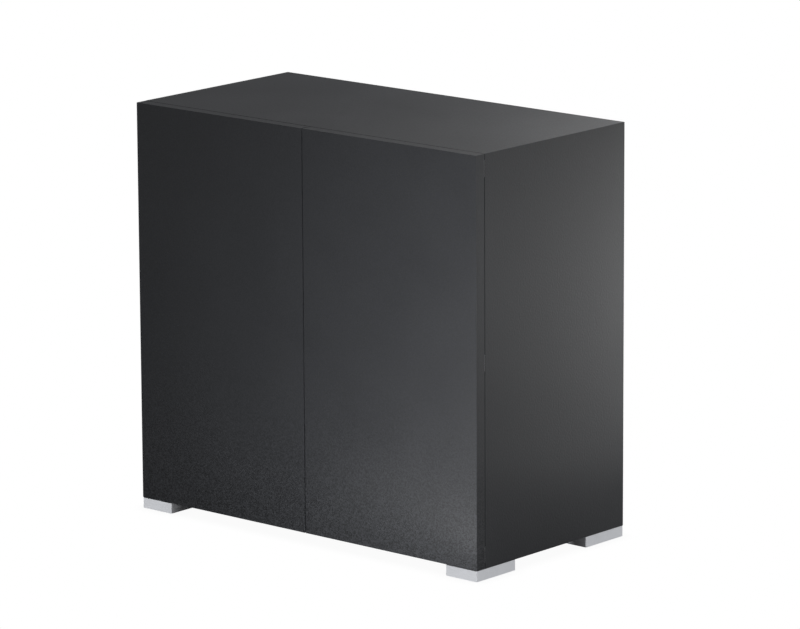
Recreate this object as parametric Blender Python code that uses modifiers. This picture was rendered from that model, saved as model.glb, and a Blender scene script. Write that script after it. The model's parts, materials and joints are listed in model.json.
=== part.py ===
"""Aquarium stand cabinet: a board carcass on four flat block feet, closed by two full-overlay doors.

Metres, +Z up. The origin is on the floor under the middle of the cabinet, +X runs to the right along the
doors and +Y runs to the back, so the doors face -Y. SIDES gives each side its sign along X.
"""

import math

import bmesh
import bpy
from mathutils import Matrix, Vector

# Overall size
WIDTH = 0.800
DEPTH = 0.406
HEIGHT = 0.755
FOOT_HEIGHT = 0.020

# Boards, and the small gap left wherever two pieces meet
BOARD = 0.019
DOOR_BOARD = 0.022
BACK_BOARD = 0.008
SHELF_BOARD = 0.016
FIT = 0.0003

# Doors, and the gaps behind them, at the side panels and at the top panel
DOOR_STANDOFF = 0.0015
TOP_GAP = 0.0006
DOOR_SPLIT = 0.0024
DOOR_FOOT_GAP = 0.0010

# Soft bumpers on the side panels' front edges, which keep the doors off the carcass
BUMPER_INSET = 0.0005
BUMPER_WIDTH = 0.009
BUMPER_LENGTH = 0.030
BUMPER_END_DISTANCE = 0.026

# Carcass
BACK_INSET = 0.003
PARTITION_SETBACK = 0.002
SHELF_SETBACK = 0.014
SHELF_UNDERSIDE = 0.400
SHELF_SIDE_GAP = 0.001

# Holes for the shelf pins: two columns of five on each inner face
HOLE_PITCH = 0.032
HOLE_ROWS = 5
HOLE_EDGE = 0.037
HOLE_DEPTH = 0.009
HOLE_RADIUS = 0.0028
PIN_RADIUS = 0.0025
PIN_DEPTH = 0.008
PIN_HEAD_RADIUS = 0.0035
PIN_HEAD_LENGTH = 0.009

# Hose outlets in the back panel, and their grommets
OUTLET_RADIUS = 0.030
OUTLET_FROM_MIDDLE = 0.300
OUTLET_HEIGHT = 0.660
GROMMET_BORE_RADIUS = 0.0265
GROMMET_FLANGE_RADIUS = 0.034
GROMMET_FLANGE = 0.002

# Feet and their glide pads
FOOT_LENGTH = 0.071
FOOT_DEPTH = 0.105
FOOT_CORNER_RADIUS = 0.0020
PAD_RADIUS = 0.014
PAD_THICKNESS = 0.003
PAD_PROUD = 0.0005

# Cup hinges. Plan places are measured inward from the cabinet's side face and back from the door's face.
HINGE_END_DISTANCE = 0.100
CUP_INWARD = 0.0225
CUP_RADIUS = 0.0175
CUP_WALL = 0.001
CUP_FLOOR = 0.0008
CUP_DEPTH = 0.0125
CUP_LIP = 0.0011
CUP_NOTCH_HALF = 0.008
EAR_THICKNESS = 0.0008
EAR_WIDTH = 0.013
EAR_HALF_SPAN = 0.027
EAR_SCREW = 0.0225
SCREW_HOLE_RADIUS = 0.002
CUP_PIVOT = (0.011, 0.018)
ARM_PIVOT = (0.027, 0.023)
PIVOT_PIN_RADIUS = 0.0009
PIVOT_BORE_RADIUS = 0.0012
LINK_THICKNESS = 0.0015
LINK_HALF_WIDTH = 0.0045
LINK_SAGITTA = 0.0075
LINK_EYE_RADIUS = 0.0015
CHEEK_INNER = 0.0052
CHEEK_OUTER = 0.0070
ARM_LOW = 0.0214
ARM_HIGH = 0.0272
ARM_END = 0.083
ARM_NOSE_RADIUS = 0.0022
ARM_WEB = 0.0012
ARM_OPEN_NOSE = 0.006
PLATE_THICKNESS = 0.0018
PLATE_FRONT = 0.053
PLATE_BACK = 0.069
PLATE_HALF_SPAN = 0.024
PLATE_SCREW = 0.016
RAIL_FRONT = 0.045
RAIL_BACK = 0.077
RAIL_HIGH = 0.0256
RAIL_HALF_WIDTH = 0.0048

# Push latches
LATCH_FROM_MIDDLE = 0.035
LATCH_DROP = 0.012
LATCH_BODY_WIDTH = 0.014
LATCH_BODY_HEIGHT = 0.016
LATCH_LENGTH = 0.050
LATCH_BASE_WIDTH = 0.032
LATCH_BASE_HEIGHT = 0.0025
LATCH_SETBACK = 0.001
PLUNGER_RADIUS = 0.004
PLUNGER_BORE_RADIUS = 0.0043
PLUNGER_LENGTH = 0.034
STRIKE_RADIUS = 0.009
STRIKE_THICKNESS = 0.001

# Facets round a full circle
COARSE = 16
MEDIUM = 32
FINE = 48

# Planes that several pieces share
DOOR_FRONT = -DEPTH / 2
DOOR_BACK = DOOR_FRONT + DOOR_BOARD
CARCASS_FRONT = DOOR_BACK + DOOR_STANDOFF
TOP_FRONT = DOOR_BACK + TOP_GAP
REAR = DEPTH / 2
BACK_REAR_FACE = REAR - BACK_INSET
BACK_FRONT_FACE = BACK_REAR_FACE - BACK_BOARD
INNER_SIDE = WIDTH / 2 - BOARD
CARCASS_BOTTOM = FOOT_HEIGHT
FLOOR_TOP = CARCASS_BOTTOM + BOARD
CEILING = HEIGHT - BOARD
FOOT_TOP = FOOT_HEIGHT - FIT
DOOR_BOTTOM = FOOT_TOP + DOOR_FOOT_GAP
DOOR_TOP = HEIGHT - FIT
PIN_HEIGHT = SHELF_UNDERSIDE - FIT - PIN_HEAD_RADIUS
PIN_COLUMNS = (CARCASS_FRONT + HOLE_EDGE, BACK_FRONT_FACE - HOLE_EDGE)
LATCH_HEIGHT = CEILING - LATCH_DROP
HINGE_HEIGHTS = {"lower": DOOR_BOTTOM + HINGE_END_DISTANCE, "upper": DOOR_TOP - HINGE_END_DISTANCE}
BUMPER_HEIGHTS = {
    "lower": CARCASS_BOTTOM + BUMPER_END_DISTANCE,
    "middle": (CARCASS_BOTTOM + HEIGHT) / 2,
    "upper": HEIGHT - BUMPER_END_DISTANCE,
}
SIDES = {"left": -1, "right": 1}


# Scene, collections and materials

def clear_scene():
    for obj in list(bpy.data.objects):
        bpy.data.objects.remove(obj)


def new_collection(name):
    collection = bpy.data.collections.new(name)
    bpy.context.scene.collection.children.link(collection)
    return collection


def new_material(name, colour, roughness, metallic=0.0):
    material = bpy.data.materials.new(name)
    material.use_nodes = True
    shader = material.node_tree.nodes["Principled BSDF"]
    shader.inputs["Base Color"].default_value = (*colour, 1.0)
    shader.inputs["Roughness"].default_value = roughness
    shader.inputs["Metallic"].default_value = metallic
    material.diffuse_color = (*colour, 1.0)
    return material


clear_scene()
PARTS = new_collection("aquarium_stand_cabinet")
CUTTERS = new_collection("cutters")
ANTHRACITE = new_material("anthracite_board", (0.040, 0.042, 0.046), 0.45)
BACK_MATERIAL = new_material("back_board", (0.055, 0.057, 0.060), 0.60)
SILVER = new_material("silver_foot", (0.62, 0.62, 0.65), 0.35, 0.6)
NICKEL = new_material("nickel_plate", (0.66, 0.65, 0.62), 0.25, 1.0)
GREY_PLASTIC = new_material("grey_plastic", (0.30, 0.31, 0.32), 0.45)
BLACK_PLASTIC = new_material("black_plastic", (0.03, 0.03, 0.03), 0.50)
PAD_MATERIAL = new_material("pad_rubber", (0.05, 0.05, 0.05), 0.85)
BUMPER_MATERIAL = new_material("bumper_plastic", (0.35, 0.35, 0.36), 0.40)


# Making and placing objects

def world_location(obj):
    """Where an object's origin is in the world. Parents here are never rotated or scaled."""
    location = Vector((0.0, 0.0, 0.0))
    while obj:
        location += obj.location
        obj = obj.parent
    return location


def add_object(name, data, location, material=None, parent=None):
    """Links a new part, or a helper shape when it has no material, with its origin at a world location."""
    obj = bpy.data.objects.new(name, data)
    obj.parent = parent
    obj.location = Vector(location) - world_location(parent)
    if material is None:
        CUTTERS.objects.link(obj)
        obj.hide_render = True
        obj.display_type = "WIRE"
    else:
        PARTS.objects.link(obj)
        data.materials.append(material)
    return obj


def add_pivot(name, location, parent=None):
    """An empty on a joint's axis, which carries the pieces that turn or slide with that joint."""
    pivot = bpy.data.objects.new(name, None)
    pivot.parent = parent
    pivot.location = Vector(location) - world_location(parent)
    pivot.empty_display_size = 0.02
    PARTS.objects.link(pivot)
    return pivot


def mesh_from(name, shape):
    mesh = bpy.data.meshes.new(name)
    shape.to_mesh(mesh)
    shape.free()
    return mesh


def box(name, corner, opposite, material=None, parent=None):
    """A box between two opposite corners in the world."""
    low = Vector(map(min, corner, opposite))
    high = Vector(map(max, corner, opposite))
    shape = bmesh.new()
    bmesh.ops.create_cube(shape, size=1.0)
    bmesh.ops.scale(shape, vec=high - low, verts=shape.verts)
    return add_object(name, mesh_from(name, shape), (low + high) / 2, material, parent)


def add_cylinder(shape, axis, radius, length, centre=(0.0, 0.0, 0.0), facets=MEDIUM):
    """Adds one capped cylinder to a bmesh, along the named world axis."""
    quarter = math.pi / 2
    turn = {"X": Matrix.Rotation(quarter, 4, "Y"), "Y": Matrix.Rotation(quarter, 4, "X"), "Z": Matrix()}
    bmesh.ops.create_cone(
        shape,
        cap_ends=True,
        segments=facets,
        radius1=radius,
        radius2=radius,
        depth=length,
        matrix=Matrix.Translation(centre) @ turn[axis],
    )


def cylinder(name, axis, radius, start, length, material=None, parent=None, facets=MEDIUM):
    """A cylinder from its start point along +axis, with its origin at its middle."""
    shape = bmesh.new()
    add_cylinder(shape, axis, radius, length, facets=facets)
    direction = Vector((axis == "X", axis == "Y", axis == "Z"))
    return add_object(name, mesh_from(name, shape), Vector(start) + direction * length / 2, material, parent)


def round_cutters(name, axis, radius, length, centres, facets=COARSE):
    """Several separate cylinders in one helper, for a row of equal holes."""
    shape = bmesh.new()
    for centre in centres:
        add_cylinder(shape, axis, radius, length, centre, facets)
    return add_object(name, mesh_from(name, shape), (0.0, 0.0, 0.0))


def turned(name, profile, closed, material, location, rotation, facets=MEDIUM, parent=None):
    """Turns a profile of (radius, height) points round its own Z axis with a Screw modifier."""
    shape = bmesh.new()
    points = [shape.verts.new((radius, 0.0, height)) for radius, height in profile]
    for first, second in zip(points, points[1:]):
        shape.edges.new((first, second))
    if closed:
        shape.edges.new((points[-1], points[0]))
    obj = add_object(name, mesh_from(name, shape), location, material, parent)
    obj.rotation_euler = rotation
    screw = obj.modifiers.new("turn", "SCREW")
    screw.axis = "Z"
    screw.angle = math.tau
    screw.steps = facets
    screw.render_steps = facets
    screw.use_merge_vertices = True
    screw.merge_threshold = 0.00001
    return obj


def flat_outline(name, outline, half_height, location, material=None, parent=None):
    """A flat plate lying in the XY plane, from the world XY points of its outline, as a closed mesh."""
    curve = bpy.data.curves.new(name + "_outline", "CURVE")
    curve.dimensions = "2D"
    curve.fill_mode = "BOTH"
    curve.extrude = half_height
    spline = curve.splines.new("POLY")
    spline.points.add(len(outline) - 1)
    for point, (x, y) in zip(spline.points, outline):
        point.co = (x - location[0], y - location[1], 0.0, 1.0)
    spline.use_cyclic_u = True
    sketch = bpy.data.objects.new(name + "_outline", curve)
    CUTTERS.objects.link(sketch)
    graph = bpy.context.evaluated_depsgraph_get()
    mesh = bpy.data.meshes.new_from_object(sketch.evaluated_get(graph))
    bpy.data.objects.remove(sketch)
    shape = bmesh.new()
    shape.from_mesh(mesh)
    bmesh.ops.remove_doubles(shape, verts=shape.verts, dist=0.00001)
    bmesh.ops.recalc_face_normals(shape, faces=shape.faces)
    shape.to_mesh(mesh)
    shape.free()
    return add_object(name, mesh, location, material, parent)


def combine(obj, tool, operation):
    """Cuts or joins a helper shape with the Boolean's exact solver."""
    modifier = obj.modifiers.new(tool.name, "BOOLEAN")
    modifier.operation = operation
    modifier.solver = "EXACT"
    modifier.object = tool


def cut(obj, *tools):
    for tool in tools:
        combine(obj, tool, "DIFFERENCE")


def join(obj, *tools):
    for tool in tools:
        combine(obj, tool, "UNION")


def round_uprights(obj, radius):
    """Rounds a box's four upright edges."""
    weights = obj.data.attributes.new("bevel_weight_edge", "FLOAT", "EDGE")
    for edge in obj.data.edges:
        first, second = (obj.data.vertices[index].co for index in edge.vertices)
        weights.data[edge.index].value = float(first.xy == second.xy)
    modifier = obj.modifiers.new("round_uprights", "BEVEL")
    modifier.width = radius
    modifier.segments = 3
    modifier.limit_method = "WEIGHT"


# Carcass

def mitred_side(name, side):
    """A side panel whose upper end is cut at 45 degrees to meet the top panel in a mitre."""
    outer = side * WIDTH / 2
    inner = side * INNER_SIDE
    top = HEIGHT - FIT / 2
    panel = box(name, (outer, CARCASS_FRONT, CARCASS_BOTTOM), (inner, REAR, top), ANTHRACITE)
    for vertex in panel.data.vertices:
        if vertex.co.z > 0 and vertex.co.x * side < 0:
            vertex.co.z -= BOARD
    return panel


def mitred_top():
    """The top panel, with both ends cut at 45 degrees and its front edge close behind the doors."""
    end = WIDTH / 2 - FIT / 2
    panel = box("top_panel", (-end, TOP_FRONT, CEILING), (end, REAR, HEIGHT), ANTHRACITE)
    for vertex in panel.data.vertices:
        if vertex.co.z < 0:
            vertex.co.x -= math.copysign(BOARD, vertex.co.x)
    return panel


def pin_holes(name, face):
    """Helper cylinders for the shelf pin holes that open on the board face at this X."""
    rows = [PIN_HEIGHT + HOLE_PITCH * (row - HOLE_ROWS // 2) for row in range(HOLE_ROWS)]
    centres = [(face, column, height) for column in PIN_COLUMNS for height in rows]
    return round_cutters(name, "X", HOLE_RADIUS, 2 * HOLE_DEPTH, centres)


def make_carcass():
    for label, side in SIDES.items():
        panel = mitred_side(label + "_side_panel", side)
        cut(panel, pin_holes(label + "_side_holes", side * INNER_SIDE))
    mitred_top()
    between = INNER_SIDE - FIT
    box("bottom_panel", (-between, CARCASS_FRONT, CARCASS_BOTTOM), (between, REAR, FLOOR_TOP), ANTHRACITE)
    floor = FLOOR_TOP + FIT
    ceiling = CEILING - FIT
    back = box(
        "back_panel",
        (-between, BACK_FRONT_FACE, floor),
        (between, BACK_REAR_FACE, ceiling),
        BACK_MATERIAL,
    )
    outlets = [(side * OUTLET_FROM_MIDDLE, BACK_FRONT_FACE, OUTLET_HEIGHT) for side in SIDES.values()]
    cut(back, round_cutters("hose_outlets", "Y", OUTLET_RADIUS, 4 * BACK_BOARD, outlets, FINE))
    partition = box(
        "centre_partition",
        (-BOARD / 2, CARCASS_FRONT + PARTITION_SETBACK, floor),
        (BOARD / 2, BACK_FRONT_FACE - FIT, ceiling),
        ANTHRACITE,
    )
    for label, side in SIDES.items():
        cut(partition, pin_holes(label + "_partition_holes", side * BOARD / 2))


def make_grommets():
    """A plastic ring in each hose outlet: a sleeve through the board and a flange on its rear face."""
    sleeve_radius = OUTLET_RADIUS - FIT
    rim = BACK_BOARD + GROMMET_FLANGE + 2 * FIT
    profile = [
        (GROMMET_BORE_RADIUS, rim),
        (GROMMET_FLANGE_RADIUS, rim),
        (GROMMET_FLANGE_RADIUS, rim - GROMMET_FLANGE),
        (sleeve_radius, rim - GROMMET_FLANGE),
        (sleeve_radius, 0.0),
        (GROMMET_BORE_RADIUS, 0.0),
    ]
    for label, side in SIDES.items():
        start = (side * OUTLET_FROM_MIDDLE, BACK_FRONT_FACE - FIT, OUTLET_HEIGHT)
        turned(label + "_hose_grommet", profile, True, BLACK_PLASTIC, start, (-math.pi / 2, 0.0, 0.0), FINE)


def make_shelf():
    """The left compartment's shelf, loose on four pins that plug into the side panel and the partition."""
    outer = -INNER_SIDE + SHELF_SIDE_GAP
    inner = -BOARD / 2 - SHELF_SIDE_GAP
    front = CARCASS_FRONT + SHELF_SETBACK
    back = BACK_FRONT_FACE - SHELF_SIDE_GAP
    top = SHELF_UNDERSIDE + SHELF_BOARD
    box("left_shelf", (outer, front, SHELF_UNDERSIDE), (inner, back, top), ANTHRACITE)
    profile = [
        (0.0, PIN_HEAD_LENGTH),
        (PIN_HEAD_RADIUS, PIN_HEAD_LENGTH),
        (PIN_HEAD_RADIUS, FIT),
        (PIN_RADIUS, FIT),
        (PIN_RADIUS, -PIN_DEPTH),
        (0.0, -PIN_DEPTH),
    ]
    for depth_label, column in zip(("front", "back"), PIN_COLUMNS):
        for label, face, turn in (("outer", -INNER_SIDE, 1), ("inner", -BOARD / 2, -1)):
            name = f"shelf_pin_{depth_label}_{label}"
            rotation = (0.0, turn * math.pi / 2, 0.0)
            turned(name, profile, False, NICKEL, (face, column, PIN_HEIGHT), rotation, COARSE)


def make_bumpers():
    """Three soft pads on each side panel's front edge, near the outer face."""
    front = DOOR_BACK + FIT
    back = CARCASS_FRONT - FIT
    for label, side in SIDES.items():
        outer = side * (WIDTH / 2 - BUMPER_INSET)
        inner = outer - side * BUMPER_WIDTH
        for level, height in BUMPER_HEIGHTS.items():
            low = height - BUMPER_LENGTH / 2
            high = height + BUMPER_LENGTH / 2
            box(f"{label}_{level}_bumper", (outer, front, low), (inner, back, high), BUMPER_MATERIAL)


# Feet

def make_foot(name, side, front):
    """A flat block under one corner, flush with the outer faces, and the glide pad let into its underside."""
    outer = side * WIDTH / 2
    inner = outer - side * FOOT_LENGTH
    edge = front * DEPTH / 2
    inward = edge - front * FOOT_DEPTH
    foot = box(name + "_foot", (outer, edge, PAD_PROUD), (inner, inward, FOOT_TOP), SILVER)
    round_uprights(foot, FOOT_CORNER_RADIUS)
    centre = ((outer + inner) / 2, (edge + inward) / 2, 0.0)
    pocket_depth = PAD_THICKNESS + FIT
    cut(foot, cylinder(name + "_pad_pocket", "Z", PAD_RADIUS + FIT, centre, pocket_depth))
    cylinder(name + "_glide_pad", "Z", PAD_RADIUS, centre, PAD_THICKNESS, PAD_MATERIAL)


def make_feet():
    for depth_label, front in (("front", -1), ("back", 1)):
        for label, side in SIDES.items():
            make_foot(f"{depth_label}_{label}", side, front)


# Doors

def plan(side, inward, rearward):
    """World X and Y of a hinge place, measured inward from the side face and back from the door's face."""
    return side * (WIDTH / 2 - inward), DOOR_FRONT + rearward


def hinge_place(side, height, inward, rearward, up):
    """A world place near the hinge at this height, with its plan measured as plan does."""
    return (*plan(side, inward, rearward), height + up)


def hinge_box(name, side, height, corner, opposite, material=None):
    """A box between two places near a hinge, each given as (inward, rearward, up)."""
    return box(name, hinge_place(side, height, *corner), hinge_place(side, height, *opposite), material)


def make_door(label, side, pivot):
    name = label + "_door"
    outer_corner = (side * WIDTH / 2, DOOR_FRONT, DOOR_BOTTOM)
    inner_corner = (side * DOOR_SPLIT / 2, DOOR_BACK, DOOR_TOP)
    door = box(name, outer_corner, inner_corner, ANTHRACITE, pivot)
    x, y = plan(side, CUP_INWARD, DOOR_BOARD)
    centres = [(x, y, height) for height in HINGE_HEIGHTS.values()]
    depth = CUP_DEPTH + FIT
    cut(door, round_cutters(name + "_cup_bores", "Y", CUP_RADIUS + FIT, 2 * depth, centres, MEDIUM))


# Hinges

def arc(centre, radius, start, end, steps):
    """Points along an arc between two angles, both ends included."""
    angles = [start + (end - start) * step / steps for step in range(steps + 1)]
    return [(centre[0] + radius * math.cos(angle), centre[1] + radius * math.sin(angle)) for angle in angles]


def link_outline():
    """The link's hooked outline in plan: a strip along a circular arc, rounded to an eye at each pivot."""
    arm = Vector(ARM_PIVOT)
    cup = Vector(CUP_PIVOT)
    span = arm - cup
    radius = (span.length ** 2 / 4 + LINK_SAGITTA ** 2) / (2 * LINK_SAGITTA)
    bulge = Vector((span.y, -span.x)).normalized()
    centre = (arm + cup) / 2 + bulge * (LINK_SAGITTA - radius)
    to_arm = math.atan2(arm.y - centre.y, arm.x - centre.x)
    to_cup = math.atan2(cup.y - centre.y, cup.x - centre.x)
    half = LINK_THICKNESS / 2
    trim = math.asin(half / LINK_EYE_RADIUS)
    steps = 12
    outline = arc(centre, radius + half, to_cup, to_arm, steps)[1:-1]
    outline += arc(arm, LINK_EYE_RADIUS, to_arm - trim, to_arm + math.pi + trim, steps)
    outline += arc(centre, radius - half, to_arm, to_cup, steps)[1:-1]
    outline += arc(cup, LINK_EYE_RADIUS, to_cup - math.pi - trim, to_cup + trim, steps)
    return outline


def make_link(name, side, height, pivot):
    """The hooked link between arm and cup, with its two pivot pins."""
    outline = [plan(side, inward, rearward) for inward, rearward in link_outline()]
    start = (*plan(side, *ARM_PIVOT), height)
    link = flat_outline(name, outline, LINK_HALF_WIDTH, start, NICKEL, pivot)
    for label, place in (("arm", ARM_PIVOT), ("cup", CUP_PIVOT)):
        low = (*plan(side, *place), height - CHEEK_OUTER)
        join(link, cylinder(f"{name}_{label}_pin", "Z", PIVOT_PIN_RADIUS, low, 2 * CHEEK_OUTER, facets=COARSE))


def pivot_bore(name, side, place, height):
    """A helper for the bore that a pivot pin turns in."""
    length = 2 * CHEEK_OUTER + 2 * ARM_WEB
    low = (*plan(side, *place), height - length / 2)
    return cylinder(name, "Z", PIVOT_BORE_RADIUS, low, length, facets=COARSE)


def add_cup_cheeks(cup, name, side, height, floor_face):
    """Joins the two cheeks that hold the link's pin inside the cup."""
    inward, rearward = CUP_PIVOT
    reach = CHEEK_OUTER - CHEEK_INNER
    for label, start in (("low", -CHEEK_OUTER), ("high", CHEEK_INNER)):
        foot = (inward - reach, floor_face + CUP_FLOOR / 2, start)
        head = (inward + reach, rearward + reach, start + reach)
        join(cup, hinge_box(f"{name}_{label}_cheek", side, height, foot, head))


def make_cup(name, side, height, pivot):
    """The cup let into the door, with a screw ear above and below and a notch on its outer side."""
    floor_face = DOOR_BOARD - CUP_DEPTH
    lip_face = DOOR_BOARD + CUP_LIP
    inside = CUP_RADIUS - CUP_WALL
    profile = [
        (0.0, CUP_FLOOR),
        (inside, CUP_FLOOR),
        (inside, lip_face - floor_face),
        (CUP_RADIUS, lip_face - floor_face),
        (CUP_RADIUS, 0.0),
        (0.0, 0.0),
    ]
    bottom = hinge_place(side, height, CUP_INWARD, floor_face, 0.0)
    cup = turned(name, profile, False, NICKEL, bottom, (-math.pi / 2, 0.0, 0.0), MEDIUM, pivot)
    ears = hinge_box(
        name + "_ears",
        side,
        height,
        (CUP_INWARD - EAR_WIDTH / 2, lip_face - EAR_THICKNESS, -EAR_HALF_SPAN),
        (CUP_INWARD + EAR_WIDTH / 2, lip_face, EAR_HALF_SPAN),
    )
    mouth_start = hinge_place(side, height, CUP_INWARD, DOOR_BOARD, 0.0)
    mouth = cylinder(name + "_mouth", "Y", CUP_RADIUS - CUP_WALL / 2, mouth_start, CUP_LIP + DOOR_BOARD)
    screw_centres = [hinge_place(side, height, CUP_INWARD, lip_face, sign * EAR_SCREW) for sign in (-1, 1)]
    screws = round_cutters(name + "_screw_holes", "Y", SCREW_HOLE_RADIUS, 4 * EAR_THICKNESS, screw_centres)
    cut(ears, mouth, screws)
    join(cup, ears)
    add_cup_cheeks(cup, name, side, height, floor_face)
    notch_start = (0.0, DOOR_BOARD, -CUP_NOTCH_HALF)
    notch_end = (CUP_PIVOT[0], DOOR_BOARD * 2, CUP_NOTCH_HALF)
    notch = hinge_box(name + "_notch", side, height, notch_start, notch_end)
    cut(cup, pivot_bore(name + "_pin_bore", side, CUP_PIVOT, height), notch)


def arm_outline():
    """The arm's outline in plan: a bar along the side panel that narrows to a round nose at the pivot."""
    nose_start = math.pi
    nose_end = math.tau
    nose = arc(ARM_PIVOT, ARM_NOSE_RADIUS, nose_start, nose_end, 10)
    shoulder = ARM_PIVOT[1] + ARM_OPEN_NOSE
    return nose + [
        (ARM_PIVOT[0] + ARM_NOSE_RADIUS, shoulder - ARM_NOSE_RADIUS),
        (ARM_HIGH, shoulder),
        (ARM_HIGH, ARM_END),
        (ARM_LOW, ARM_END),
        (ARM_LOW, shoulder),
    ]


def make_arm(name, side, height):
    """A channel-shaped arm: two cheeks round the link's pin and a web on the side away from the panel."""
    outline = [plan(side, inward, rearward) for inward, rearward in arm_outline()]
    start = (*plan(side, ARM_HIGH, ARM_END), height)
    arm = flat_outline(name, outline, CHEEK_OUTER, start, NICKEL)
    low = (0.0, 0.0, -CHEEK_INNER)
    channel_end = (ARM_HIGH - ARM_WEB, ARM_END - ARM_WEB, CHEEK_INNER)
    mouth_end = (2 * ARM_HIGH, ARM_PIVOT[1] + ARM_OPEN_NOSE, CHEEK_INNER)
    channel = hinge_box(name + "_channel", side, height, low, channel_end)
    mouth = hinge_box(name + "_mouth", side, height, low, mouth_end)
    cut(arm, channel, mouth, pivot_bore(name + "_pin_bore", side, ARM_PIVOT, height))


def make_plate(name, side, height):
    """The mounting plate screwed to the side panel, with the rail that the arm clips over."""
    panel_face = BOARD + FIT
    wing_low = (panel_face, PLATE_FRONT, -PLATE_HALF_SPAN)
    wing_high = (panel_face + PLATE_THICKNESS, PLATE_BACK, PLATE_HALF_SPAN)
    rail_low = (panel_face, RAIL_FRONT, -RAIL_HALF_WIDTH)
    rail_high = (RAIL_HIGH, RAIL_BACK, RAIL_HALF_WIDTH)
    plate = hinge_box(name, side, height, wing_low, wing_high, NICKEL)
    rail = hinge_box(name + "_rail", side, height, rail_low, rail_high)
    middle = (PLATE_FRONT + PLATE_BACK) / 2
    screw_centres = [hinge_place(side, height, panel_face, middle, sign * PLATE_SCREW) for sign in (-1, 1)]
    screws = round_cutters(name + "_screw_holes", "X", SCREW_HOLE_RADIUS, 4 * PLATE_THICKNESS, screw_centres)
    join(plate, rail)
    cut(plate, screws)


# Push latches

def make_latch(label, side, door_pivot):
    """A latch under the top panel, whose plunger presses on a strike plate on the door."""
    x = side * LATCH_FROM_MIDDLE
    front = CARCASS_FRONT + LATCH_SETBACK
    back = front + LATCH_LENGTH
    ceiling = CEILING - FIT
    half_width = LATCH_BODY_WIDTH / 2
    half_height = LATCH_BODY_HEIGHT / 2
    name = label + "_push_latch_housing"
    housing = box(name, (x - LATCH_BASE_WIDTH / 2, front, ceiling - LATCH_BASE_HEIGHT),
                  (x + LATCH_BASE_WIDTH / 2, back, ceiling), GREY_PLASTIC)
    barrel = box(name + "_barrel", (x - half_width, front, LATCH_HEIGHT - half_height),
                 (x + half_width, back, ceiling - LATCH_BASE_HEIGHT / 2))
    strike_face = DOOR_BACK + FIT + STRIKE_THICKNESS
    tip = (x, strike_face + FIT, LATCH_HEIGHT)
    bore = cylinder(name + "_bore", "Y", PLUNGER_BORE_RADIUS, tip, PLUNGER_LENGTH + FIT, facets=MEDIUM)
    join(housing, barrel)
    cut(housing, bore)
    slide = add_pivot(label + "_plunger_slide", tip)
    cylinder(label + "_push_latch_plunger", "Y", PLUNGER_RADIUS, tip, PLUNGER_LENGTH, BLACK_PLASTIC, slide)
    strike = (x, DOOR_BACK + FIT, LATCH_HEIGHT)
    cylinder(label + "_strike_plate", "Y", STRIKE_RADIUS, strike, STRIKE_THICKNESS, NICKEL, door_pivot)


def make_moving_side(label, side):
    """One door with everything that swings with it, and the hinges and the latch that hold it."""
    link_pivot = add_pivot(label + "_link_axis", (*plan(side, *ARM_PIVOT), 0.0))
    door_pivot = add_pivot(label + "_door_axis", (*plan(side, *CUP_PIVOT), 0.0), link_pivot)
    make_door(label, side, door_pivot)
    for level, height in HINGE_HEIGHTS.items():
        hinge = f"{label}_{level}_hinge"
        make_cup(hinge + "_cup", side, height, door_pivot)
        make_link(hinge + "_link", side, height, link_pivot)
        make_arm(hinge + "_arm", side, height)
        make_plate(hinge + "_plate", side, height)
    make_latch(label, side, door_pivot)


make_carcass()
make_grommets()
make_shelf()
make_bumpers()
make_feet()
for side_label, side_sign in SIDES.items():
    make_moving_side(side_label, side_sign)
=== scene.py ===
"""Looks of the aquarium stand cabinet round its CAD frame: materials, screws, camera, floor and light.

Metres, in the frame's own axes: +X right along the doors, +Y to the back, +Z up, origin on the floor.
"""

import json
import math

import bmesh
import bpy
from mathutils import Matrix, Quaternion, Vector


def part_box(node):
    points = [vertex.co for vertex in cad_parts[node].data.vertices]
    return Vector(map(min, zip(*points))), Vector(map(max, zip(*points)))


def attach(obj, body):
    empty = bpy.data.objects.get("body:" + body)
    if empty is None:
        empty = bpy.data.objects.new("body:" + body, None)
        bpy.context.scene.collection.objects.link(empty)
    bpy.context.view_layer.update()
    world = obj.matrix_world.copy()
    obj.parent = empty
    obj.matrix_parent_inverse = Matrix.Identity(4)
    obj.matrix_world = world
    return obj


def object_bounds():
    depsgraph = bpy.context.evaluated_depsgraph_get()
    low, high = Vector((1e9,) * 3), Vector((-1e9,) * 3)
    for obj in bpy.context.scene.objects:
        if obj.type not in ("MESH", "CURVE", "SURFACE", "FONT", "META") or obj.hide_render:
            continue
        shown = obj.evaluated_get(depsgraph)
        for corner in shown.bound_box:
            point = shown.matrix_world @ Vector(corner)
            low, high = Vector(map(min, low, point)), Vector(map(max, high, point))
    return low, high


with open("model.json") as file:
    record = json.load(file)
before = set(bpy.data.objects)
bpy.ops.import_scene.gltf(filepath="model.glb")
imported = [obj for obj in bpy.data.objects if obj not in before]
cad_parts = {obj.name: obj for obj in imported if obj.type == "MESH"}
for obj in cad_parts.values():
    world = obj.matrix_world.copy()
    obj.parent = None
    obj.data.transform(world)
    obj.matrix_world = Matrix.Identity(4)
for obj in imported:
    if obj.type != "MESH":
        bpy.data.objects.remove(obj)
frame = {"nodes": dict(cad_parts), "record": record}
cad_low, cad_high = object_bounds()
NODES = frame["nodes"]
SIZE = cad_high - cad_low
MIDDLE = (cad_low + cad_high) / 2
SIDES = {"left": -1, "right": 1}
LEVELS = ("lower", "upper")

# Camera: angles in degrees, lens in millimetres, distance and TARGET_RIGHT in cabinet widths,
# TARGET_UP in cabinet heights, and the clip distance in metres
CAMERA_AZIMUTH = 41.03
CAMERA_ELEVATION = 12.62
CAMERA_ROLL = -0.306
CAMERA_DISTANCE = 11.87
CAMERA_LENS = 238.6
TARGET_RIGHT = 0.0622
TARGET_UP = 0.5195
CAMERA_CLIP = 100.0

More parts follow.
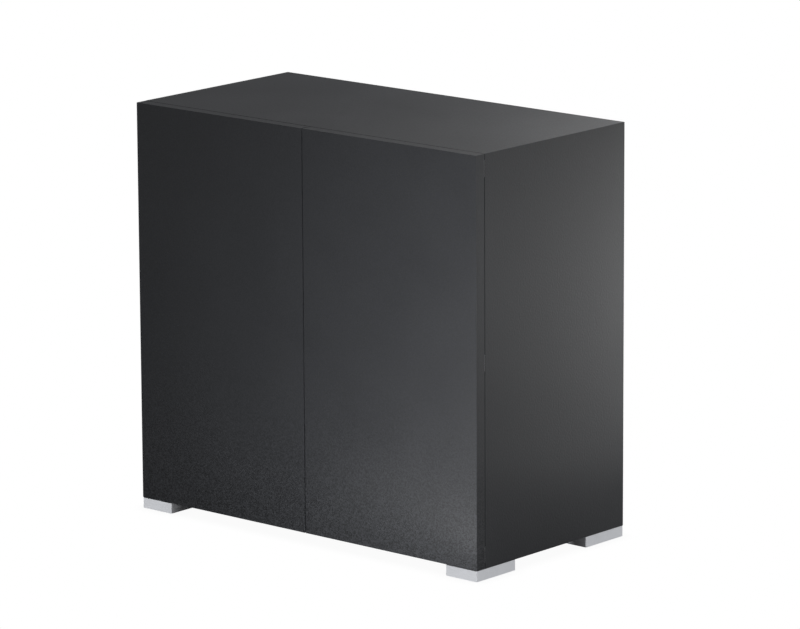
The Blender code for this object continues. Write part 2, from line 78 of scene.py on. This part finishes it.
# Lights: name, azimuth, elevation, distance in cabinet widths, width and height in cabinet widths, watts
SOFTBOXES = (
    ("overhead", 0, 88, 2.4, 2.4, 1.6, 8.9),
    ("back_high", 180, 45, 2.6, 1.4, 1.4, 24.2),
    ("side_back", 120, 30, 2.6, 1.0, 1.4, 4.7),
    ("left", 270, 25, 2.6, 1.2, 1.8, 9.0),
    ("front_left", -49, 4, 2.6, 1.0, 0.8, 0.54),
)
# Nearer lights for the soft sheen on the boards, which miss the feet
GLOWS = (
    ("side_rear_glow", 148, 0, 1.4, 0.4, 0.6, 3.28),
    ("side_rear_low_glow", 138, -9, 1.3, 0.4, 0.3, 0.09),
    ("side_middle_glow", 125, -6, 1.2, 0.4, 0.4, 0.21),
    ("side_low_glow", 120, -12, 1.1, 0.3, 0.2, 0.06),
    ("side_floor_glow", 110, -22, 0.85, 0.4, 0.1, 0.05),
    ("rear_floor_glow", 145, -18, 0.9, 0.4, 0.1, 0.18),
    ("front_right", 45, 20, 1.3, 0.4, 0.4, 2.25),
    ("front_low_right", 25, 2, 1.3, 0.5, 0.5, 3.73),
    ("front_floor_glow", 25, -20, 1.05, 0.75, 0.12, 1.60),
    ("front_edge_glow", 24, -38, 0.66, 0.8, 0.06, 0.19),
)
# Low strips far away that reach only the feet, to light their front and side faces evenly
FEET_STRIPS = (
    ("feet_front", -3, -3.9, 6.0, 1.1, 0.12, 124.0),
    ("feet_side", 88.2, -3.9, 6.0, 0.6, 0.12, 74.0),
)

# Surroundings: strengths as shares of white, lengths in metres
AMBIENT = 0.10
WHITE = (1.0, 1.0, 1.0)
WHITE_STRENGTH = 1.0
FLOOR_BOUNCE = 0.25
FLOOR_HALF_WIDTH = 40.0
CONTACT_REACH = 0.03
CONTACT_SHADE = 0.95
CONTACT_FULL = 0.4
CONTACT_SAMPLES = 8


# Node graphs

NOISE_LOW = 0.3
NOISE_HIGH = 0.7
EDGE_SAMPLES = 4
ROUNDED_DOT = 0.80
FLAT_DOT = 0.995


class Graph:
    """A short way to write a material's nodes."""

    def __init__(self, name):
        self.material = bpy.data.materials.new(name)
        self.material.use_nodes = True
        self.tree = self.material.node_tree
        self.tree.nodes.clear()
        self.output = self.add("ShaderNodeOutputMaterial")

    def add(self, kind, **inputs):
        """A node whose inputs are set by name: a value is stored, and a socket is linked."""
        node = self.tree.nodes.new(kind)
        for name, value in inputs.items():
            self.feed(node, name.replace("_", " "), value)
        return node

    def feed(self, node, name, value):
        target = node.inputs[name]
        if isinstance(value, bpy.types.NodeSocket):
            self.tree.links.new(value, target)
        else:
            target.default_value = value

    def finish(self, shader):
        self.tree.links.new(shader.outputs[0], self.output.inputs["Surface"])
        return self.material

    def position(self, scale=(1.0, 1.0, 1.0)):
        """The point in its object's own space times a scale, so that a pattern rides with its piece."""
        place = self.add("ShaderNodeTexCoord")
        mapping = self.add("ShaderNodeMapping", Vector=place.outputs["Object"], Scale=scale)
        return mapping.outputs["Vector"]

    def height(self):
        """Height above the floor with the cabinet closed."""
        place = self.add("ShaderNodeTexCoord")
        split = self.add("ShaderNodeSeparateXYZ", Vector=place.outputs["Object"])
        return split.outputs["Z"]

    def noise(self, vector, scale, detail=3.0, roughness=0.5):
        node = self.add("ShaderNodeTexNoise", Vector=vector, Scale=scale, Detail=detail, Roughness=roughness)
        return node.outputs["Fac"]

    def cells(self, vector, scale):
        """A random grey value for each Voronoi cell."""
        node = self.add("ShaderNodeTexVoronoi", Vector=vector, Scale=scale)
        split = self.add("ShaderNodeSeparateColor", Color=node.outputs["Color"])
        return split.outputs[0]

    def spread(self, value, low, high, source_low=0.0, source_high=1.0):
        """Maps a value from its source range to low..high."""
        node = self.add("ShaderNodeMapRange", Value=value)
        node.inputs["From Min"].default_value = source_low
        node.inputs["From Max"].default_value = source_high
        node.inputs["To Min"].default_value = low
        node.inputs["To Max"].default_value = high
        return node.outputs["Result"]

    def vary(self, noise, low, high):
        """Maps a noise, whose values mostly lie between NOISE_LOW and NOISE_HIGH, to low..high."""
        return self.spread(noise, low, high, NOISE_LOW, NOISE_HIGH)

    def calculate(self, operation, first, second):
        node = self.add("ShaderNodeMath")
        node.operation = operation
        for socket, value in zip(node.inputs, (first, second)):
            if isinstance(value, bpy.types.NodeSocket):
                self.tree.links.new(value, socket)
            else:
                socket.default_value = value
        return node.outputs["Value"]

    def times(self, first, second):
        return self.calculate("MULTIPLY", first, second)

    def plus(self, first, second):
        return self.calculate("ADD", first, second)

    def scaled_colour(self, colour, factor):
        """A colour multiplied by a value."""
        node = self.add("ShaderNodeVectorMath")
        node.operation = "SCALE"
        node.inputs[0].default_value = colour
        self.feed(node, "Scale", factor)
        return node.outputs["Vector"]

    def bump(self, height, distance, strength):
        node = self.add("ShaderNodeBump", Height=height, Distance=distance, Strength=strength)
        return node.outputs["Normal"]

    def edge_mask(self, radius):
        """Near 1 within a radius of a sharp edge and 0 on open faces."""
        rounded = self.add("ShaderNodeBevel", Radius=radius)
        rounded.samples = EDGE_SAMPLES
        surface = self.add("ShaderNodeNewGeometry")
        dot = self.add("ShaderNodeVectorMath")
        dot.operation = "DOT_PRODUCT"
        self.tree.links.new(rounded.outputs["Normal"], dot.inputs[0])
        self.tree.links.new(surface.outputs["Normal"], dot.inputs[1])
        return self.spread(dot.outputs["Value"], 1.0, 0.0, ROUNDED_DOT, FLAT_DOT)


# Materials: pattern scales count cells or waves per metre, and radii and bump distances are in metres

BOARD_COLOUR = (0.030, 0.0315, 0.035)
BOARD_ROUGHNESS = 0.46
BOARD_SPECULAR = 0.45
BOARD_GRAIN = 0.08
# Painted sheen on the doors: grain made stronger towards the floor, where the sheen shows it
DOOR_PAINTED_LOW_SHEEN = 0.50
SHEEN_FULL_HEIGHT = 0.03
SHEEN_FADE_HEIGHT = 0.34
SHEEN_FADE_POWER = 1.5
BACK_COLOUR = (0.045, 0.046, 0.049)
ALUMINIUM_COLOUR = (0.73, 0.745, 0.78)
ALUMINIUM_METALLIC = 0.15
PLATED_METALLIC = 0.8
ALONG_X = (0.03, 1.0, 1.0)
ALONG_Z = (1.0, 1.0, 0.15)


def board_material(name, painted_low_sheen):
    """Melamine-faced board: near-black grey under a fine pearl grain, with a soft broken sheen.

    The grain is fine all over, and the second argument makes it stronger towards the floor: painted sheen,
    as the sheen low on the doors shows the grain.
    """
    graph = Graph(name)
    place = graph.position()
    grain = graph.cells(place, scale=480.0)
    pearl = graph.noise(place, scale=330.0, roughness=0.7)
    cloud = graph.noise(place, scale=7.0)
    # Paler edges: a highlight painted along the sharp edges
    painted_edge_highlight = graph.edge_mask(radius=0.0010)
    # Painted sheen: the grain grows stronger towards the floor
    nearness = graph.spread(graph.height(), 1.0, 0.0, SHEEN_FULL_HEIGHT, SHEEN_FADE_HEIGHT)
    strength = graph.times(graph.calculate("POWER", nearness, SHEEN_FADE_POWER), painted_low_sheen)
    strength = graph.plus(strength, BOARD_GRAIN)
    speck = graph.times(graph.spread(grain, -1.0, 1.0), strength)
    shade = graph.plus(speck, 1.0)
    shade = graph.times(shade, graph.vary(pearl, 0.90, 1.10))
    shade = graph.times(shade, graph.vary(cloud, 0.96, 1.04))
    shade = graph.plus(shade, graph.times(painted_edge_highlight, 0.25))
    roughness = graph.vary(pearl, BOARD_ROUGHNESS - 0.05, BOARD_ROUGHNESS + 0.05)
    roughness = graph.plus(roughness, graph.vary(cloud, -0.02, 0.02))
    peel = graph.noise(place, scale=300.0, detail=0.0)
    shader = graph.add(
        "ShaderNodeBsdfPrincipled",
        Base_Color=graph.scaled_colour(BOARD_COLOUR, shade),
        Roughness=roughness,
        Normal=graph.bump(peel, distance=0.00025, strength=0.6),
    )
    shader.inputs["Specular IOR Level"].default_value = BOARD_SPECULAR
    return graph.finish(shader)


def back_material():
    """Thin laminated fibreboard: flat dark grey with upright paper fibres and a faint cloud."""
    graph = Graph("back_laminate")
    fibre = graph.noise(graph.position(ALONG_Z), scale=700.0)
    cloud = graph.noise(graph.position(), scale=5.0, detail=4.0)
    shade = graph.times(graph.vary(fibre, 0.88, 1.12), graph.vary(cloud, 0.93, 1.07))
    shader = graph.add(
        "ShaderNodeBsdfPrincipled",
        Base_Color=graph.scaled_colour(BACK_COLOUR, shade),
        Roughness=graph.vary(fibre, 0.58, 0.70),
        Normal=graph.bump(fibre, distance=0.00008, strength=0.5),
    )
    return graph.finish(shader)


def foot_material():
    """Satin aluminium under a matte lacquer, brushed along the foot's length."""
    graph = Graph("satin_aluminium")
    brush = graph.noise(graph.position(ALONG_X), scale=1800.0, roughness=0.6)
    blotch = graph.noise(graph.position(), scale=40.0)
    # Paler edges: a highlight painted along the sharp edges
    painted_edge_highlight = graph.edge_mask(radius=0.0010)
    shade = graph.times(graph.vary(brush, 0.94, 1.06), graph.vary(blotch, 0.98, 1.02))
    shade = graph.plus(shade, graph.times(painted_edge_highlight, 0.12))
    shader = graph.add(
        "ShaderNodeBsdfPrincipled",
        Base_Color=graph.scaled_colour(ALUMINIUM_COLOUR, shade),
        Metallic=ALUMINIUM_METALLIC,
        Roughness=graph.vary(brush, 0.60, 0.72),
        Normal=graph.bump(brush, distance=0.00003, strength=0.5),
    )
    return graph.finish(shader)


def metal_material(name, colour, roughness, grain_scale):
    """Plated steel: bright, with a faint rolled grain, duller patches and a painted highlight along its
    edges.
    """
    graph = Graph(name)
    place = graph.position()
    grain = graph.noise(place, grain_scale)
    patch = graph.noise(place, scale=150.0, detail=2.0)
    # Paler edges: a highlight painted along the sharp edges
    painted_edge_highlight = graph.edge_mask(radius=0.0004)
    shade = graph.plus(graph.vary(patch, 0.92, 1.04), graph.times(painted_edge_highlight, 0.15))
    shader = graph.add(
        "ShaderNodeBsdfPrincipled",
        Base_Color=graph.scaled_colour(colour, shade),
        Metallic=PLATED_METALLIC,
        Roughness=graph.vary(grain, roughness - 0.06, roughness + 0.08),
        Normal=graph.bump(grain, distance=0.00002, strength=0.4),
    )
    return graph.finish(shader)


def plastic_material(name, colour, roughness, spark_scale=2200.0, spark_depth=0.00004):
    """Moulded plastic with a fine spark-eroded texture and paler edges, a painted highlight."""
    graph = Graph(name)
    place = graph.position()
    spark = graph.noise(place, spark_scale, detail=2.0)
    blotch = graph.noise(place, scale=60.0)
    # Paler edges: a highlight painted along the sharp edges
    painted_edge_highlight = graph.edge_mask(radius=0.0006)
    shade = graph.times(graph.vary(spark, 0.93, 1.07), graph.vary(blotch, 0.95, 1.05))
    shade = graph.plus(shade, graph.times(painted_edge_highlight, 0.25))
    shader = graph.add(
        "ShaderNodeBsdfPrincipled",
        Base_Color=graph.scaled_colour(colour, shade),
        Roughness=graph.vary(blotch, roughness - 0.05, roughness + 0.07),
        Normal=graph.bump(spark, spark_depth, strength=0.5),
    )
    return graph.finish(shader)


def floor_material():
    """A plain pale floor: white with a faint contact shade to the camera, and a dim bounce to the object."""
    graph = Graph("pale_floor")
    contact = graph.add("ShaderNodeAmbientOcclusion", Distance=CONTACT_REACH)
    contact.samples = CONTACT_SAMPLES
    shade = graph.spread(contact.outputs["AO"], CONTACT_SHADE, 1.0, CONTACT_FULL, 1.0)
    seen = graph.add("ShaderNodeEmission", Color=graph.scaled_colour(WHITE, shade), Strength=WHITE_STRENGTH)
    bounce = graph.add("ShaderNodeBsdfDiffuse", Color=(FLOOR_BOUNCE, FLOOR_BOUNCE, FLOOR_BOUNCE, 1.0))
    path = graph.add("ShaderNodeLightPath")
    mixed = graph.add("ShaderNodeMixShader", Fac=path.outputs["Is Camera Ray"])
    graph.tree.links.new(bounce.outputs[0], mixed.inputs[1])
    graph.tree.links.new(seen.outputs[0], mixed.inputs[2])
    return graph.finish(mixed)


MATERIALS = {
    "anthracite_board": board_material("anthracite_melamine", 0.0),
    # The doors' copy of the board carries painted sheen: grain stronger towards the floor
    "anthracite_door_painted_sheen": board_material("anthracite_melamine_door_painted_sheen", DOOR_PAINTED_LOW_SHEEN),
    "back_board": back_material(),
    "silver_foot": foot_material(),
    "nickel_plate": metal_material("nickel_plated_steel", (0.66, 0.65, 0.61), 0.24, 1500.0),
    "grey_plastic": plastic_material("latch_grey_plastic", (0.28, 0.29, 0.30), 0.45),
    "black_plastic": plastic_material("moulded_black_plastic", (0.022, 0.022, 0.023), 0.42),
    "bumper_plastic": plastic_material("soft_bumper_plastic", (0.30, 0.30, 0.31), 0.40),
    "pad_rubber": plastic_material("glide_pad_rubber", (0.040, 0.040, 0.041), 0.80, 900.0, 0.0001),
    "zinc_screw": metal_material("zinc_plated_screw", (0.70, 0.70, 0.68), 0.30, 2500.0),
}


# CAD nodes keep their shape and take their finish, with a small rounding on their edges

EDGE_ROUNDING = {
    "anthracite_board": 0.0005,
    "silver_foot": 0.0004,
    "back_board": 0.0003,
    "nickel_plate": 0.0001,
    "grey_plastic": 0.0004,
    "black_plastic": 0.0003,
    "bumper_plastic": 0.0003,
    "pad_rubber": 0.0004,
}
ROUNDING_SEGMENTS = 2
SMOOTH_ANGLE = math.radians(35)


def finish_nodes():
    for part in frame["record"]["subparts"]:
        obj = NODES[part["node"]]
        slot = part["material_slot"]
        # Doors take the board copy with the painted sheen
        finish = "anthracite_door_painted_sheen" if part["node"].endswith("_door") else slot
        obj.data.materials.clear()
        obj.data.materials.append(MATERIALS[finish])
        obj.data.shade_smooth()
        obj.data.set_sharp_from_angle(angle=SMOOTH_ANGLE)
        if slot in EDGE_ROUNDING:
            rounding = obj.modifiers.new("edge_rounding", "BEVEL")
            rounding.width = EDGE_ROUNDING[slot]
            rounding.segments = ROUNDING_SEGMENTS
            rounding.limit_method = "ANGLE"
            rounding.angle_limit = SMOOTH_ANGLE
            rounding.harden_normals = True


# Screws, which ride with the piece that they hold

# The unit screw, whose head has radius 1 and height 1; each next one is turned a little further, in radians
SCREW_PROFILE = (
    (0.0, 1.0),
    (0.50, 0.98),
    (0.80, 0.80),
    (0.96, 0.45),
    (1.0, 0.0),
    (0.42, 0.0),
    (0.42, -1.2),
    (0.0, -1.6),
)
SCREW_FACETS = 24
SCREW_FIRST_TURN = 0.4
SCREW_NEXT_TURN = 0.9
WELD_DISTANCE = 0.0001
RECESS_LENGTH = 1.15
RECESS_WIDTH = 0.26
RECESS_DEPTH = 0.75

# Seats: spreads are shares of a piece's half length, places are shares of its length, the rest is in metres
EAR_SCREW_SPREAD = 0.833
PLATE_SCREW_SPREAD = 0.667
PLATE_WING = 0.0018
ARM_SCREW_PLACES = (0.40, 0.82)
LATCH_BASE = 0.0025
LATCH_SCREW_SPREAD = 0.72
FOOT_SCREW_SPREAD = 0.72
BACK_SCREWS = 5

# Each kind of screw: head radius and head height, in metres
EAR_SCREW = (0.0030, 0.0009)
PLATE_SCREW = (0.0034, 0.0014)
ARM_SCREW = (0.0028, 0.0008)
LATCH_SCREW = (0.0030, 0.0012)
FOOT_SCREW = (0.0040, 0.0003)
BACK_SCREW = (0.0036, 0.0016)


def unit_screw():
    """A domed cross-recess screw of head radius and height 1, seated at z = 0 with its shank below."""
    shape = bmesh.new()
    points = [shape.verts.new((radius, 0.0, height)) for radius, height in SCREW_PROFILE]
    for first, second in zip(points, points[1:]):
        shape.edges.new((first, second))
    ring = shape.verts[:] + shape.edges[:]
    bmesh.ops.spin(shape, geom=ring, axis=(0, 0, 1), angle=math.tau, steps=SCREW_FACETS, use_merge=True)
    bmesh.ops.remove_doubles(shape, verts=shape.verts, dist=WELD_DISTANCE)
    bmesh.ops.recalc_face_normals(shape, faces=shape.faces)
    screw = new_object("unit_screw", shape)
    slots = []
    for size in ((RECESS_LENGTH, RECESS_WIDTH), (RECESS_WIDTH, RECESS_LENGTH)):
        shape = bmesh.new()
        bmesh.ops.create_cube(shape, size=1.0)
        bmesh.ops.scale(shape, vec=(*size, 2 * RECESS_DEPTH), verts=shape.verts)
        bmesh.ops.translate(shape, vec=(0.0, 0.0, 1.0), verts=shape.verts)
        slots.append(new_object("recess", shape))
        modifier = screw.modifiers.new("recess", "BOOLEAN")
        modifier.operation = "DIFFERENCE"
        modifier.object = slots[-1]
    depsgraph = bpy.context.evaluated_depsgraph_get()
    mesh = bpy.data.meshes.new_from_object(screw.evaluated_get(depsgraph))
    for obj in (screw, *slots):
        bpy.data.objects.remove(obj)
    return mesh


def new_object(name, shape, material=None):
    """An object in the scene, made from a bmesh, which is freed."""
    mesh = bpy.data.meshes.new(name)
    shape.to_mesh(mesh)
    shape.free()
    obj = bpy.data.objects.new(name, mesh)
    bpy.context.scene.collection.objects.link(obj)
    if material:
        mesh.materials.append(material)
    return obj


def add_screws(name, body, seats, outward, head):
    """One piece of equal screws, seated on these points with their heads facing outward."""
    radius, height = head
    shape = bmesh.new()
    turn = Vector(outward).to_track_quat("Z", "Y").to_matrix().to_4x4()
    for index, seat in enumerate(seats):
        shape.from_mesh(UNIT_SCREW)
        fresh = [vertex for vertex in shape.verts if not vertex.tag]
        spin = Matrix.Rotation(SCREW_FIRST_TURN + SCREW_NEXT_TURN * index, 4, "Z")
        scale = Matrix.Diagonal((radius, radius, height, 1.0))
        bmesh.ops.transform(shape, matrix=Matrix.Translation(seat) @ turn @ spin @ scale, verts=fresh)
        for vertex in fresh:
            vertex.tag = True
    screws = new_object(name, shape, MATERIALS["zinc_screw"])
    screws.data.shade_smooth()
    screws.data.set_sharp_from_angle(angle=SMOOTH_ANGLE)
    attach(screws, body)


def add_hinge_screws(label, side, level):
    """Screws for one hinge: two in the cup's ears, two in the plate's wings and two in the arm's web."""
    hinge = f"{label}_{level}_hinge"
    low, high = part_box(hinge + "_cup")
    middle = (low + high) / 2
    reach = (high.z - low.z) / 2 * EAR_SCREW_SPREAD
    seats = [Vector((middle.x, high.y, middle.z + sign * reach)) for sign in (-1, 1)]
    add_screws(hinge + "_cup_screws", label + "_door", seats, (0, 1, 0), EAR_SCREW)

    low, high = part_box(hinge + "_plate")
    middle = (low + high) / 2
    wing = (high.x if side > 0 else low.x) - side * PLATE_WING
    reach = (high.z - low.z) / 2 * PLATE_SCREW_SPREAD
    seats = [Vector((wing, middle.y, middle.z + sign * reach)) for sign in (-1, 1)]
    add_screws(hinge + "_plate_screws", "carcass", seats, (-side, 0, 0), PLATE_SCREW)

    low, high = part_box(hinge + "_arm")
    web = low.x if side > 0 else high.x
    length = high.y - low.y
    seats = [Vector((web, low.y + share * length, (low.z + high.z) / 2)) for share in ARM_SCREW_PLACES]
    add_screws(hinge + "_arm_screws", "carcass", seats, (-side, 0, 0), ARM_SCREW)


def add_latch_screws(label):
    """Two screws that hold the latch's base up to the top panel."""
    low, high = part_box(label + "_push_latch_housing")
    middle = (low + high) / 2
    reach = (high.x - low.x) / 2 * LATCH_SCREW_SPREAD
    seats = [Vector((middle.x + sign * reach, middle.y, high.z - LATCH_BASE)) for sign in (-1, 1)]
    add_screws(label + "_push_latch_screws", "carcass", seats, (0, 0, -1), LATCH_SCREW)


def add_foot_screws(corner):
    """Two flat-headed screws that hold a foot up to the bottom panel, either side of its pad."""
    low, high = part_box(corner + "_foot")
    middle = (low + high) / 2
    reach = (high.y - low.y) / 2 * FOOT_SCREW_SPREAD
    seats = [Vector((middle.x, middle.y + sign * reach, low.z)) for sign in (-1, 1)]
    add_screws(corner + "_foot_screws", "carcass", seats, (0, 0, -1), FOOT_SCREW)


def add_back_screws():
    """A column of screws through the back panel into the partition's rear edge."""
    low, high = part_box("back_panel")
    partition_low, partition_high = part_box("centre_partition")
    x = (partition_low.x + partition_high.x) / 2
    rise = high.z - low.z
    seats = [Vector((x, high.y, low.z + rise * (step + 0.5) / BACK_SCREWS)) for step in range(BACK_SCREWS)]
    add_screws("back_panel_screws", "carcass", seats, (0, 1, 0), BACK_SCREW)


def add_all_screws():
    for label, side in SIDES.items():
        for level in LEVELS:
            add_hinge_screws(label, side, level)
        add_latch_screws(label)
        for depth_label in ("front", "back"):
            add_foot_screws(f"{depth_label}_{label}")
    add_back_screws()


# Camera, floor and light

def direction(azimuth, elevation):
    """The unit vector from the object towards a place, with azimuth 0 in front of the doors."""
    turn = math.radians(azimuth)
    rise = math.radians(elevation)
    return Vector((math.sin(turn) * math.cos(rise), -math.cos(turn) * math.cos(rise), math.sin(rise)))


def add_camera():
    data = bpy.data.cameras.new("camera")
    data.lens = CAMERA_LENS
    data.clip_end = CAMERA_CLIP
    camera = bpy.data.objects.new("camera", data)
    bpy.context.scene.collection.objects.link(camera)
    target = Vector((TARGET_RIGHT * SIZE.x, MIDDLE.y, TARGET_UP * SIZE.z))
    back = direction(CAMERA_AZIMUTH, CAMERA_ELEVATION)
    camera.location = target + back * CAMERA_DISTANCE * SIZE.x
    camera.rotation_mode = "QUATERNION"
    roll = Quaternion((0.0, 0.0, 1.0), math.radians(CAMERA_ROLL))
    camera.rotation_quaternion = (-back).to_track_quat("-Z", "Y") @ roll
    bpy.context.scene.camera = camera


def add_floor():
    shape = bmesh.new()
    bmesh.ops.create_grid(shape, x_segments=1, y_segments=1, size=FLOOR_HALF_WIDTH)
    new_object("floor", shape, floor_material())


def add_lights(rows, receivers=None):
    """Area lights that face the cabinet's middle, lighting all pieces or those that receivers says."""
    for name, azimuth, elevation, distance, width, height, watts in rows:
        data = bpy.data.lights.new(name, "AREA")
        data.shape = "RECTANGLE"
        data.size = width * SIZE.x
        data.size_y = height * SIZE.x
        data.energy = watts
        light = bpy.data.objects.new(name, data)
        towards = direction(azimuth, elevation)
        light.location = MIDDLE + towards * distance * SIZE.x
        light.rotation_mode = "QUATERNION"
        light.rotation_quaternion = (-towards).to_track_quat("-Z", "Y")
        light.visible_camera = False
        light.light_linking.receiver_collection = receivers
        bpy.context.scene.collection.objects.link(light)


def feet_receivers(state):
    """A light-linking collection that includes only the feet, or excludes them."""
    feet = bpy.data.collections.new("feet_" + state.lower())
    for name, obj in NODES.items():
        if name.endswith("_foot"):
            feet.objects.link(obj)
    for member in feet.collection_objects:
        member.light_linking.link_state = state
    return feet


def add_world():
    """White behind the object for the camera, and a dim even fill for everything else."""
    world = bpy.data.worlds.new("studio")
    bpy.context.scene.world = world
    world.use_nodes = True
    tree = world.node_tree
    tree.nodes.clear()
    fill = tree.nodes.new("ShaderNodeBackground")
    fill.inputs["Strength"].default_value = AMBIENT
    white = tree.nodes.new("ShaderNodeBackground")
    white.inputs["Strength"].default_value = WHITE_STRENGTH
    for shader in (fill, white):
        shader.inputs["Color"].default_value = (*WHITE, 1.0)
    path = tree.nodes.new("ShaderNodeLightPath")
    mixed = tree.nodes.new("ShaderNodeMixShader")
    output = tree.nodes.new("ShaderNodeOutputWorld")
    tree.links.new(path.outputs["Is Camera Ray"], mixed.inputs["Fac"])
    tree.links.new(fill.outputs[0], mixed.inputs[1])
    tree.links.new(white.outputs[0], mixed.inputs[2])
    tree.links.new(mixed.outputs[0], output.inputs["Surface"])


finish_nodes()
UNIT_SCREW = unit_screw()
add_all_screws()
add_floor()
add_lights(SOFTBOXES)
add_lights(GLOWS, feet_receivers("EXCLUDE"))
add_lights(FEET_STRIPS, feet_receivers("INCLUDE"))
add_world()
add_camera()
bpy.context.scene.view_settings.view_transform = "Standard"
